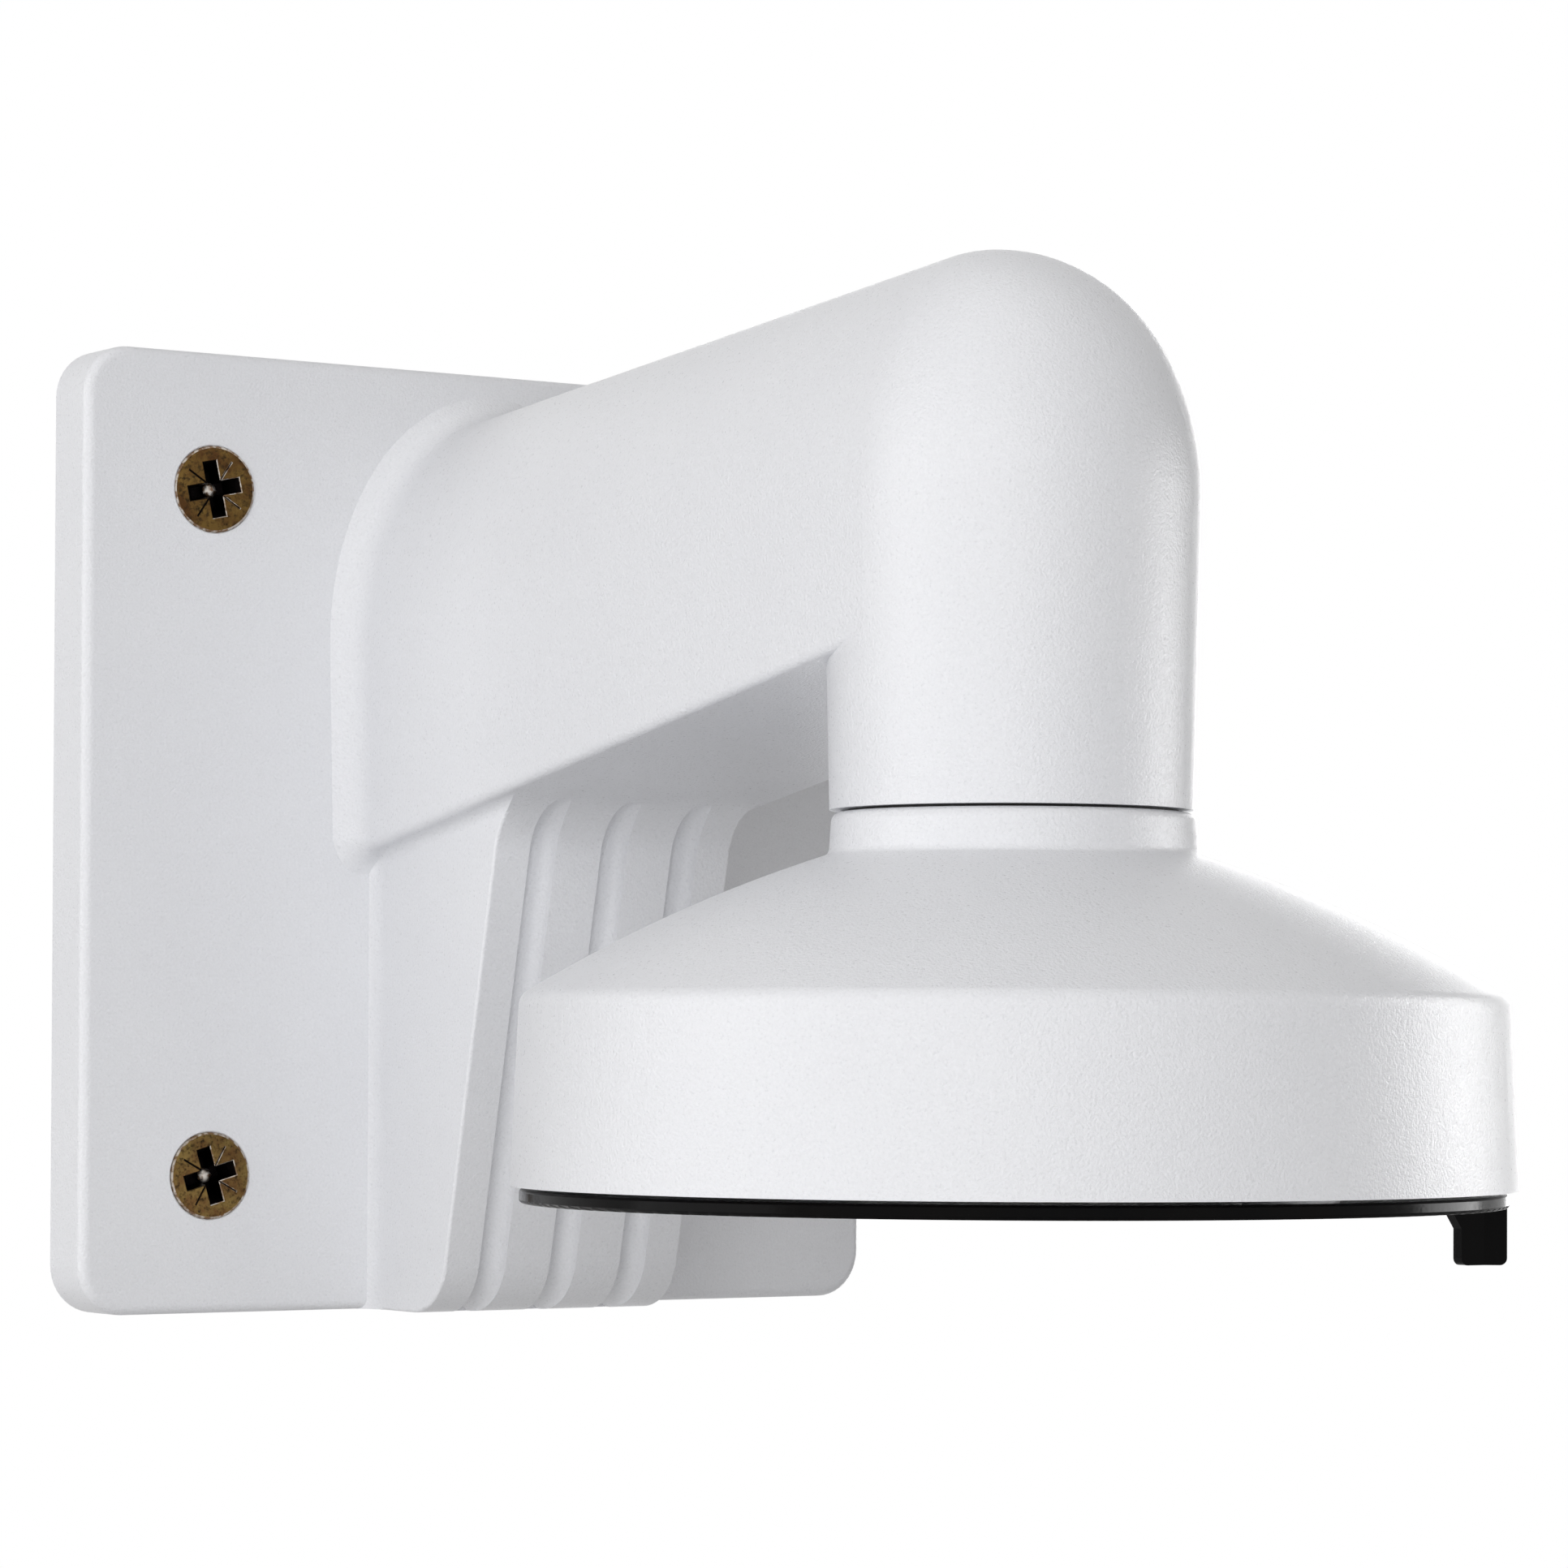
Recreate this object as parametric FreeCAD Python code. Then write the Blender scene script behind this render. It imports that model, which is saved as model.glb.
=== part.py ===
import FreeCAD, Part
import math
import os

# A wall bracket for a small dome camera, in millimetres. The origin is the middle of the wall
# plate on the wall's plane, X runs along the wall, Z is up, and the arm reaches along -Y.

Vec = FreeCAD.Vector

# Wall plate
plate_width = 115.0
plate_height = 119.0
plate_thickness = 8.5
plate_corner_radius = 6.0
plate_edge_radius = 1.2
plate_rim_wall = 4.0
plate_face_wall = 3.5
plate_rib_thickness = 2.5
plate_rib_shortfall = 0.5

# Wall screws and their holes
screw_spacing_x = 80.0
screw_spacing_z = 85.0
screw_thread_diameter = 5.0
screw_neck_diameter = 3.8
screw_head_diameter = 10.8
screw_head_rim = 0.4
screw_head_proud = 0.25
screw_length = 45.0
screw_point_length = 6.0
screw_recess_width = 5.6
screw_recess_wing = 1.7
screw_recess_depth = 2.2
screw_recess_turn = -12.0
screw_hole_clearance = 0.4
screw_boss_wall = 4.0

# Arm and nose
arm_reach = 122.0
arm_slope = 0.084
arm_wall = 3.2
arm_top_margin = 6.4
arm_root_radius = 5.0
arm_root_setback = 0.4
arm_edge_radius = 1.1
nose_radius = 20.5
nose_foot_radius = 19.75
nose_foot_height = 0.0
nose_rear_shift = 1.0
nose_floor = 4.0
crown_base_height = 33.7
crown_height = plate_height / 2 - arm_top_margin + arm_slope * (arm_reach - plate_thickness) - crown_base_height
crown_setback = 6.2
underside_start = -2.45
underside_slope = 0.183

# Ribbed column under the arm
column_half_width = 17.0
column_reach = 39.0
column_lean = 0.228
column_foot_radius = 8.0
column_throat_radius = 9.0
column_root_radius = 5.0
column_root_setback = 2.4
column_edge_radius = 0.4
column_top_radius = 1.4
column_front_wall = 5.0
column_side_wall = 3.5
groove_spacing = 10.2
groove_width = 3.8
groove_depth = 1.6
groove_fade = 1.5
groove_count = 3

# Cap under the nose: radii, and drops below the nose's foot
cap_gap = 0.3
cap_neck_radius = 20.05
cap_neck_foot_radius = 20.35
cap_neck_edge_radius = 1.1
cap_neck_root_radius = 0.8
cap_cone_start_radius = 20.9
cap_cone_start_drop = 5.1
cap_cone_bulge = 1.2
cap_cone_end_drop = 20.6
cap_shoulder_radius = 2.0
cap_rim_radius = 55.2
cap_drum_draft = 0.9
cap_cone_end_radius = cap_rim_radius - cap_drum_draft
cap_rim_drop = 41.4
cap_wall = 2.4
cap_neck_floor = 3.0

# Screws that hold the cap, and the cable way between them
cap_screw_circle = 26.0
cap_screw_diameter = 4.0
cap_screw_head_diameter = 6.8
cap_screw_head_height = 2.4
cap_screw_grip = 5.0
cap_screw_count = 3
cap_screw_key_size = 2.5
cap_screw_key_depth = 1.3
cable_way_diameter = 17.0
hole_clearance = 0.25
thread_clearance = 0.02

# Seal in the joint between the nose and the cap
seal_outer_diameter = 36.4
seal_land = 1.2
seal_thickness = 1.3

# Camera plate under the cap
camera_plate_inset = 1.0
camera_plate_radius = cap_rim_radius - camera_plate_inset
camera_plate_thickness = 1.55
camera_plate_gap = 0.35
camera_plate_opening = 44.0
camera_hole_circle = 74.0
camera_hole_diameter = 4.2
camera_hole_count = 3

# Screws that hold the camera plate, and the bosses that take them
plate_screw_diameter = 3.5
plate_screw_head_diameter = 6.0
plate_screw_length = 9.0
plate_screw_count = 3
plate_screw_recess = 3.0
plate_screw_recess_wing = 0.9
plate_screw_recess_depth = 0.9
plate_boss_diameter = 10.0
plate_boss_height = 12.0
plate_boss_bite = 0.7
plate_screw_circle = 2 * (cap_rim_radius - cap_wall + plate_boss_bite) - plate_boss_diameter

# Tab bent down from the camera plate, with its inner leaf turned
tab_direction = -38.0
tab_outer_leaf = 2.9
tab_inner_leaf = 3.3
tab_fold_radius = camera_plate_radius - tab_outer_leaf
tab_inner_radius = tab_fold_radius - tab_inner_leaf
tab_thickness = 1.5
tab_drop = 6.3
tab_shoulder_width = 1.5
tab_shoulder_height = 2.3
tab_fold_angle = 34.0
tab_corner_radius = 0.8

# How far a cut runs past the face that it opens
cut_overlap = 1.0


def polygon_prism(points, half_width):
    """A solid from an outline of (y, z) points, as wide on each side of X = 0."""
    outline = Part.makePolygon([Vec(-half_width, y, z) for y, z in points + points[:1]])
    return Part.Face(outline).extrude(Vec(2 * half_width, 0, 0))


def underside_height(y):
    """Height of the arm's sloping underside at a distance y from the wall."""
    return underside_start + underside_slope * (-y - plate_thickness)


def quarter_arc(radius, side, facing, height, slope):
    """A quarter circle in plan, tipped by the arm's slope, from the nose's middle line to its side."""
    curve = Part.BezierCurve()
    corners = [(0, facing), (side, facing), (side, 0)]
    curve.setPoles([Vec(radius * x, radius * y, height - slope * radius * y) for x, y in corners])
    curve.setWeight(2, math.sqrt(0.5))
    return curve.toShape()


def half_disc(radius, facing, height, slope):
    """The outline of the front (facing -1) or rear (facing 1) half of the nose at one height."""
    left = quarter_arc(radius, -1, facing, height, slope)
    right = quarter_arc(radius, 1, facing, height, slope)
    chord = Part.makeLine(Vec(-radius, 0, height), Vec(radius, 0, height))
    return Part.Wire(Part.__sortEdges__([left, right, chord]))


def half_nose(radius, foot_radius, foot_height, facing):
    """Half of the round nose, from its foot up to the tipped circle where the crown begins."""
    top = half_disc(radius, facing, crown_base_height, arm_slope)
    foot = half_disc(foot_radius, facing, foot_height, 0.0)
    return Part.makeLoft([foot, top], True, True)


def crown_patch(radius, height, side):
    """One front quarter of the crown: a quarter circle in plan by a quarter ellipse upwards."""
    middle = math.sqrt(0.5)
    rise = [(radius, 0, 1), (radius, height, middle), (0, height, 1)]
    plan = [(0, -1, 1), (side, -1, middle), (side, 0, 1)]
    poles = []
    weights = []
    for spread, lift, rise_weight in rise:
        row = []
        for x, y, plan_weight in plan:
            across = crown_setback + spread * (y - crown_setback / radius)
            row.append(Vec(spread * x, across, crown_base_height + lift - arm_slope * across))
            weights.append(rise_weight * plan_weight)
        poles.append(row)
    surface = Part.BSplineSurface()
    weight_rows = [weights[3 * i:3 * i + 3] for i in range(3)]
    surface.buildFromPolesMultsKnots(
        poles, [3, 3], [3, 3], [0, 1], [0, 1], False, False, 2, 2, weight_rows
    )
    return surface


def crown_side_face(surface, radius, height, side):
    """The upright face where one quarter of the crown meets the arm's rounded top."""
    foot = Vec(0, crown_setback, crown_base_height - arm_slope * crown_setback)
    top = foot + Vec(0, 0, height)
    edge = Vec(side * radius, 0, crown_base_height)
    meridian = surface.vIso(1.0).toShape()
    outline = Part.Wire(Part.__sortEdges__([meridian, Part.makeLine(top, foot), Part.makeLine(foot, edge)]))
    return Part.Face(outline)


def solid_of(faces):
    """A solid from faces that close on each other."""
    skin = Part.makeCompound(faces)
    skin.sewShape()
    solid = Part.Solid(skin.Shells[0])
    if solid.Volume < 0:
        solid.reverse()
    return solid


def arm_form(inset, foot_height, wall_side, edge_radius):
    """The arm, its crown and its nose as one solid: the outside, or the hollow at an inset."""
    radius = nose_radius - inset
    foot_radius = half_width_at(foot_height) - inset
    crown = crown_height - inset
    floor_lift = inset * math.hypot(1, underside_slope)
    run = arm_reach + crown_setback
    along = Vec(0, run, -arm_slope * run)
    pieces = [half_nose(radius, foot_radius, foot_height, -1)]
    patches = []
    sides = []
    foot_edges = []
    for side in (-1, 1):
        surface = crown_patch(radius, crown, side)
        face = crown_side_face(surface, radius, crown, side)
        patches.append(surface.toShape())
        sides.append(face)
        foot_edges.append(surface.uIso(0.0).toShape())
        pieces.append(face.extrude(along))
    foot_corner = Vec(0, crown_setback, crown_base_height - arm_slope * crown_setback)
    foot_edges.append(Part.makeLine(Vec(-radius, 0, crown_base_height), foot_corner))
    foot_edges.append(Part.makeLine(foot_corner, Vec(radius, 0, crown_base_height)))
    base = Part.Face(Part.Wire(Part.__sortEdges__(foot_edges)))
    pieces.append(solid_of(patches + sides + [base]))
    block_outline = Part.makePolygon([
        Vec(-radius, 0, crown_base_height),
        Vec(radius, 0, crown_base_height),
        Vec(foot_radius, 0, foot_height),
        Vec(-foot_radius, 0, foot_height),
        Vec(-radius, 0, crown_base_height),
    ])
    pieces.append(Part.Face(block_outline).extrude(along))
    place = Vec(0, -arm_reach, nose_foot_height)
    for piece in pieces:
        piece.translate(place)
    body = pieces[0].multiFuse(pieces[1:])
    front = -arm_reach - 2 * radius
    top = nose_foot_height + 2 * (crown_base_height + crown)
    above = polygon_prism([
        (wall_side, underside_height(wall_side) + floor_lift),
        (front, underside_height(front) + floor_lift),
        (front, top),
        (wall_side, top),
    ], 2 * radius)
    upper = body.common(above).removeSplitter()
    if edge_radius > 0:
        lower_edges = [e for e in upper.Edges if lies_on_underside(e, floor_lift) and e.BoundBox.YLength > 1]
        upper = upper.makeFillet(edge_radius, lower_edges)
        fillet_top = underside_height(front) + 2 * edge_radius
        upper = upper.cut(polygon_prism([
            (-arm_reach, underside_height(0) - edge_radius),
            (-arm_reach, fillet_top),
            (front, fillet_top),
            (front, underside_height(0) - edge_radius),
        ], 2 * radius))
    nose = round_nose(radius, foot_radius, foot_height, inset, Part.Face(block_outline))
    nose.translate(place)
    return upper.fuse(nose).removeSplitter()


def round_nose(radius, foot_radius, foot_height, inset, section):
    """The whole nose: a round front half and a round rear half, with a short straight length between."""
    sink = arm_slope * nose_rear_shift
    back = Vec(0, nose_rear_shift, -sink)
    rear = half_nose(radius, half_width_at(foot_height + sink) - inset, foot_height + sink, 1)
    rear.translate(back)
    corner = Vec(-radius, 0, foot_height)
    room = Part.makeBox(2 * radius, nose_rear_shift, crown_base_height - foot_height, corner)
    between = section.extrude(back).common(room)
    return half_nose(radius, foot_radius, foot_height, -1).fuse([between, rear])


def half_width_at(height):
    """Half the drafted arm's width at a height above the nose's foot."""
    return nose_foot_radius + (nose_radius - nose_foot_radius) * height / crown_base_height


def lies_on_underside(edge, lift):
    """Whether an edge runs in the plane of the arm's sloping underside."""
    ends = [edge.valueAt(edge.FirstParameter), edge.valueAt(edge.LastParameter)]
    ends.append(edge.valueAt((edge.FirstParameter + edge.LastParameter) / 2))
    return all(abs(p.z - underside_height(p.y) - lift) < 1e-3 for p in ends)


def edges_on_face(shape, thickness):
    """Edges in a plate's front plane that run round the arm."""
    found = []
    for edge in shape.Edges:
        box = edge.BoundBox
        flat = abs(box.YMin + thickness) < 1e-3 and abs(box.YMax + thickness) < 1e-3
        if flat and max(abs(box.XMin), abs(box.XMax)) < 2 * nose_radius:
            found.append(edge)
    return found


def plate_block(thickness):
    """The wall plate's outside at a thickness: a block with rounded corners."""
    corner = Vec(-plate_width / 2, -thickness, -plate_height / 2)
    block = Part.makeBox(plate_width, thickness, plate_height, corner)
    across = [e for e in block.Edges if e.BoundBox.YLength > thickness / 2]
    return block.makeFillet(plate_corner_radius, across)


def rounded_corner(before, corner, after, radius):
    """Start, middle and end of the arc that rounds a corner between two straight lines."""
    back = (before - corner).normalize()
    onward = (after - corner).normalize()
    half_angle = back.getAngle(onward) / 2
    run = radius / math.tan(half_angle)
    inward = (back + onward).normalize()
    centre = corner + inward * (radius / math.sin(half_angle))
    return corner + back * run, centre - inward * radius, corner + onward * run


def column_corners():
    """The column's side profile: wall side of the foot, toe, throat and a point along the underside."""
    floor = -plate_height / 2
    wall = Vec(0, -plate_thickness / 2, floor)
    toe = Vec(0, -column_reach - column_lean * floor, floor)
    throat_rise = underside_start + underside_slope * (column_reach - plate_thickness)
    throat_z = throat_rise / (1 - underside_slope * column_lean)
    throat = Vec(0, -column_reach - column_lean * throat_z, throat_z)
    ahead = Vec(0, -arm_reach, underside_height(-arm_reach))
    return wall, toe, throat, ahead


def column_block(half_width):
    """The column's plain outside, with a rounded toe and a throat that runs into the underside."""
    wall, toe, throat, ahead = column_corners()
    toe_start, toe_middle, toe_end = rounded_corner(wall, toe, throat, column_foot_radius)
    throat_start, throat_middle, throat_end = rounded_corner(toe, throat, ahead, column_throat_radius)
    inside_arm = throat_end + Vec(0, 0, arm_wall)
    behind = Vec(0, wall.y, inside_arm.z)
    outline = Part.Wire([
        Part.makeLine(wall, toe_start),
        Part.Arc(toe_start, toe_middle, toe_end).toShape(),
        Part.makeLine(toe_end, throat_start),
        Part.Arc(throat_start, throat_middle, throat_end).toShape(),
        Part.makeLine(throat_end, inside_arm),
        Part.makeLine(inside_arm, behind),
        Part.makeLine(behind, wall),
    ])
    outline.translate(Vec(-half_width, 0, 0))
    return Part.Face(outline).extrude(Vec(2 * half_width, 0, 0))


def inside_fillet(corner, across, away, radius, run):
    """The fillet in an inside corner, hollow-rounded between two directions and as long as its run."""
    start = corner + across * radius
    end = corner + away * radius
    middle = start + away * radius - (across + away).normalize() * radius
    behind = corner - (across + away) * cut_overlap
    outline = Part.Wire([
        Part.Arc(start, middle, end).toShape(),
        Part.makeLine(end, end - across * cut_overlap),
        Part.makeLine(end - across * cut_overlap, behind),
        Part.makeLine(behind, start - away * cut_overlap),
        Part.makeLine(start - away * cut_overlap, start),
    ])
    return Part.Face(outline).extrude(run)


def column_top_fillet(side):
    """The small fillet between one side of the column and the arm's underside."""
    corner = Vec(side * column_half_width, 0, underside_height(0))
    run = Vec(0, -arm_reach, underside_slope * arm_reach)
    bar = inside_fillet(corner, Vec(side, 0, 0), Vec(0, 0, -1), column_top_radius, run)
    return bar.common(column_block(column_half_width + column_top_radius))


def column_root_fillet(side):
    """The fillet between one side of the column and the plate, cut short by the plate's face."""
    height = plate_height / 2 + underside_start + arm_wall / 2
    corner = Vec(side * column_half_width, column_root_setback - plate_thickness, -plate_height / 2)
    return inside_fillet(corner, Vec(side, 0, 0), Vec(0, -1, 0), column_root_radius, Vec(0, 0, height))


def column():
    """The column with its small front edges and its grooves."""
    block = column_block(column_half_width)
    fronts = [e for e in block.Edges if e.BoundBox.XLength < 1e-3 and e.BoundBox.ZLength > plate_height / 4
              and e.BoundBox.YMax < -plate_thickness]
    block = block.makeFillet(column_edge_radius, fronts)
    for i in range(groove_count):
        block = block.cut(groove_cutter((i - (groove_count - 1) / 2) * groove_spacing))
    return block


def groove_cutter(x):
    """A round bar along the column's front, which cuts one groove and leaves the metal at both ends."""
    wall, toe, throat, ahead = column_corners()
    radius = (groove_width ** 2 / 4 + groove_depth ** 2) / (2 * groove_depth)
    offset = radius - groove_depth
    toe_end = rounded_corner(wall, toe, throat, column_foot_radius)[2]
    throat_start = rounded_corner(toe, throat, ahead, column_throat_radius)[0]
    up = (throat_start - toe_end).normalize()
    out = Vec(0, -up.z, up.y)
    low = toe_end + out * offset
    high = throat_start + out * offset
    low_turn = math.pi - (wall - toe).getAngle(throat - toe)
    high_turn = math.pi - (toe - throat).getAngle(ahead - throat)
    low_arc = turned_arc(low, -up, -out, column_foot_radius + groove_fade, low_turn)
    high_arc = turned_arc(high, up, out, column_throat_radius - 2 * groove_fade, high_turn)
    path = Part.Wire(Part.__sortEdges__([low_arc, Part.makeLine(low, high), high_arc]))
    start = path.OrderedEdges[0]
    ring = Part.makeCircle(radius, path.OrderedVertexes[0].Point, start.tangentAt(start.FirstParameter))
    cutter = path.makePipeShell([Part.Wire(ring)], True, False)
    cutter.translate(Vec(x, 0, 0))
    return cutter


def turned_arc(start, heading, toward, radius, angle):
    """An arc that leaves a point along a heading and turns toward one side through an angle."""
    points = []
    for turn in (0, angle / 2, angle):
        aside = toward * (radius * (1 - math.cos(turn)))
        points.append(start + aside + heading * (radius * math.sin(turn)))
    return Part.Arc(*points).toShape()


def column_front(z):
    """Where the column's leaning front face stands at a height."""
    return -column_reach - column_lean * z


def column_hollow():
    """The hollow inside the column, open to the wall and to the arm above."""
    wall_side = cut_overlap
    floor = -plate_height / 2 + plate_rim_wall
    ceiling = underside_height(-column_reach) + 2 * arm_wall
    front_low = column_front(floor) + column_front_wall
    front_high = column_front(ceiling) + column_front_wall
    outline = [(wall_side, floor), (front_low, floor), (front_high, ceiling), (wall_side, ceiling)]
    return polygon_prism(outline, column_half_width - column_side_wall)


def screw_places():
    """The four wall screws' places on the plate."""
    return [(sx * screw_spacing_x / 2, sz * screw_spacing_z / 2) for sx in (-1, 1) for sz in (-1, 1)]


def round_bar(diameter, start, length, direction):
    """A round bar from a point along a direction."""
    return Part.makeCylinder(diameter / 2, length, start, direction)


def back_pocket():
    """The recess in the plate's back, less the screw bosses and the ribs that cross it."""
    depth = plate_thickness - plate_face_wall
    width = plate_width - 2 * plate_rim_wall
    height = plate_height - 2 * plate_rim_wall
    pocket = Part.makeBox(width, depth, height, Vec(-width / 2, -depth, -height / 2))
    across = [e for e in pocket.Edges if e.BoundBox.YLength > depth / 2]
    pocket = pocket.makeFillet(plate_corner_radius / 2, across)
    rib_depth = depth - plate_rib_shortfall
    half_rib = plate_rib_thickness / 2
    boss = screw_thread_diameter + 2 * screw_hole_clearance + 2 * screw_boss_wall
    kept = []
    for x, z in screw_places():
        kept.append(round_bar(boss, Vec(x, -depth, z), depth, Vec(0, 1, 0)))
    for x in (-screw_spacing_x / 2, screw_spacing_x / 2):
        kept.append(Part.makeBox(plate_rib_thickness, rib_depth, height, Vec(x - half_rib, -depth, -height / 2)))
    for z in (-screw_spacing_z / 2, screw_spacing_z / 2):
        kept.append(Part.makeBox(width, rib_depth, plate_rib_thickness, Vec(-width / 2, -depth, z - half_rib)))
    return pocket.cut(kept[0].multiFuse(kept[1:]))


def screw_hole():
    """A wall screw's hole and its countersink, through the plate along +Y at X = Z = 0."""
    hole = screw_thread_diameter / 2 + screw_hole_clearance
    seat = screw_seat()
    outer = Vec(screw_head_diameter / 2 + (seat + plate_thickness), -plate_thickness, 0)
    inner = Vec(hole, seat + screw_head_diameter / 2 - hole, 0)
    front = -plate_thickness - cut_overlap
    outline = [
        Vec(0, front, 0), Vec(outer.x, front, 0), outer, inner,
        Vec(hole, cut_overlap, 0), Vec(0, cut_overlap, 0), Vec(0, front, 0),
    ]
    return Part.Face(Part.makePolygon(outline)).revolve(Vec(0, 0, 0), Vec(0, 1, 0), 360)


def screw_seat():
    """Where a wall screw's head begins to narrow, measured along Y."""
    return -plate_thickness - screw_head_proud + screw_head_rim


def nose_screw_places(circle, count):
    """Points round the nose's axis, the first toward the front."""
    places = []
    for i in range(count):
        turn = 2 * math.pi * i / count - math.pi / 2
        places.append(Vec(circle / 2 * math.cos(turn), circle / 2 * math.sin(turn) - arm_reach, 0))
    return places


def bracket_casting():
    """Wall plate, ribbed column, hollow arm and domed nose as one casting."""
    arm = arm_form(0.0, 0.0, -plate_thickness / 2, arm_edge_radius)
    face = plate_thickness - arm_root_setback
    arm_on_plate = plate_block(face).fuse(arm).removeSplitter()
    roots = edges_on_face(arm_on_plate, face)
    arm_on_plate = arm_on_plate.makeFillet(arm_root_radius, roots)
    solids = [arm_on_plate, column()]
    for side in (-1, 1):
        solids.append(column_top_fillet(side))
        solids.append(column_root_fillet(side))
    body = plate_block(plate_thickness).fuse(solids).removeSplitter()
    outline = [e for e in body.Edges if abs(e.BoundBox.YMin + plate_thickness) < 1e-3
               and abs(e.BoundBox.YMax + plate_thickness) < 1e-3
               and max(abs(e.BoundBox.XMin), abs(e.BoundBox.XMax)) > plate_width / 2 - 0.1]
    body = body.makeFillet(plate_edge_radius, outline)
    cuts = [arm_form(arm_wall, nose_floor, cut_overlap, 0.0), column_hollow(), back_pocket()]
    for x, z in screw_places():
        hole = screw_hole()
        hole.translate(Vec(x, 0, z))
        cuts.append(hole)
    up = Vec(0, 0, 1)
    foot = nose_foot_height - cut_overlap
    cut_length = nose_floor + 2 * cut_overlap
    cuts.append(round_bar(cable_way_diameter, Vec(0, -arm_reach, foot), cut_length, up))
    for place in nose_screw_places(cap_screw_circle, cap_screw_count):
        cuts.append(round_bar(cap_screw_diameter + 2 * thread_clearance, place + up * foot, cut_length, up))
    for cut in cuts:
        body = body.cut(cut)
    return body.removeSplitter()


def cone_height(radius, inset):
    """Height of the cap's gently domed cone at a radius, or of the inner face at an inset."""
    start = Vec(cap_cone_start_radius, -cap_cone_start_drop, 0)
    end = Vec(cap_cone_end_radius, -cap_cone_end_drop, 0)
    middle = (start + end) / 2 + Vec(0, cap_cone_bulge, 0)
    circle = Part.Circle(start, middle, end)
    rise = math.sqrt((circle.Radius - inset) ** 2 - (radius - circle.Center.x) ** 2)
    return nose_foot_height + circle.Center.y + rise


def revolved(edges):
    """A solid turned round the nose's axis from edges drawn in the XZ plane."""
    face = Part.Face(Part.Wire(Part.__sortEdges__(edges)))
    solid = face.revolve(Vec(0, 0, 0), Vec(0, 0, 1), 360)
    solid.translate(Vec(0, -arm_reach, 0))
    return solid


def bell(neck_top, neck_radius, neck_foot, end_radius, rim_radius, rim, inset):
    """A bell round the nose's axis: neck, domed cone and drum."""
    corners = [
        Vec(0, 0, rim), Vec(0, 0, neck_top), Vec(neck_radius, 0, neck_top),
        Vec(neck_foot, 0, cone_height(neck_foot, inset)),
    ]
    edges = [Part.makeLine(corners[i], corners[i + 1]) for i in range(3)]
    middle_radius = (neck_foot + end_radius) / 2
    end = Vec(end_radius, 0, cone_height(end_radius, inset))
    middle = Vec(middle_radius, 0, cone_height(middle_radius, inset))
    edges.append(Part.Arc(corners[3], middle, end).toShape())
    edges.append(Part.makeLine(end, Vec(rim_radius, 0, rim)))
    edges.append(Part.makeLine(Vec(rim_radius, 0, rim), corners[0]))
    return revolved(edges)


def rings_at(shape, radius, z):
    """Circular edges of a turned solid at one radius and height."""
    found = []
    for edge in shape.Edges:
        box = edge.BoundBox
        if box.ZLength < 1e-3 and abs(box.ZMin - z) < 1e-3 and abs(box.XMax - radius) < 1e-2:
            found.append(edge)
    return found


def cap():
    """The bell-shaped cap: neck, domed cone and drum, open below, with bosses for the plate's screws."""
    neck_top = nose_foot_height - cap_gap
    rim = nose_foot_height - cap_rim_drop
    outer = bell(neck_top, cap_neck_radius, cap_neck_foot_radius, cap_cone_end_radius, cap_rim_radius, rim, 0.0)
    foot_z = cone_height(cap_neck_foot_radius, 0.0)
    outer = outer.makeFillet(cap_neck_edge_radius, rings_at(outer, cap_neck_radius, neck_top))
    outer = outer.makeFillet(cap_neck_root_radius, rings_at(outer, cap_neck_foot_radius, foot_z))
    shoulder = rings_at(outer, cap_cone_end_radius, cone_height(cap_cone_end_radius, 0.0))
    outer = outer.makeFillet(cap_shoulder_radius, shoulder)
    inner_neck = cap_neck_radius - cap_wall
    inner = bell(neck_top - cap_neck_floor, inner_neck, inner_neck, cap_cone_end_radius - cap_wall,
                 cap_rim_radius - cap_wall, rim, cap_wall)
    body = outer.cut(inner)
    seat = rim - camera_plate_gap
    up = Vec(0, 0, 1)
    for place in nose_screw_places(plate_screw_circle, plate_screw_count):
        body = body.fuse(round_bar(plate_boss_diameter, place + up * seat, plate_boss_height, up))
    for place in nose_screw_places(plate_screw_circle, plate_screw_count):
        pilot = plate_screw_diameter + 2 * thread_clearance
        start = place + up * (seat - cut_overlap)
        body = body.cut(round_bar(pilot, start, plate_screw_length + cut_overlap, up))
    low = neck_top - cap_neck_floor - cut_overlap
    cut_length = cap_neck_floor + 2 * cut_overlap
    for place in nose_screw_places(cap_screw_circle, cap_screw_count):
        hole = cap_screw_diameter + 2 * hole_clearance
        body = body.cut(round_bar(hole, place + up * low, cut_length, up))
    body = body.cut(round_bar(cable_way_diameter, Vec(0, -arm_reach, low), cut_length, up))
    recess = Vec(0, -arm_reach, nose_foot_height - seal_thickness)
    return body.cut(round_bar(seal_outer_diameter, recess, seal_thickness, up)).removeSplitter()


def neck_seal():
    """The flat ring that fills the joint between the nose and the cap's neck."""
    up = Vec(0, 0, 1)
    centre = Vec(0, -arm_reach, nose_foot_height - seal_thickness)
    ring = round_bar(seal_outer_diameter - 2 * thread_clearance, centre, seal_thickness, up)
    ring = ring.cut(round_bar(cable_way_diameter + 2 * seal_land, centre, seal_thickness, up))
    for place in nose_screw_places(cap_screw_circle, cap_screw_count):
        hole = cap_screw_diameter + 2 * hole_clearance
        ring = ring.cut(round_bar(hole, place + up * centre.z, seal_thickness, up))
    return ring


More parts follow.
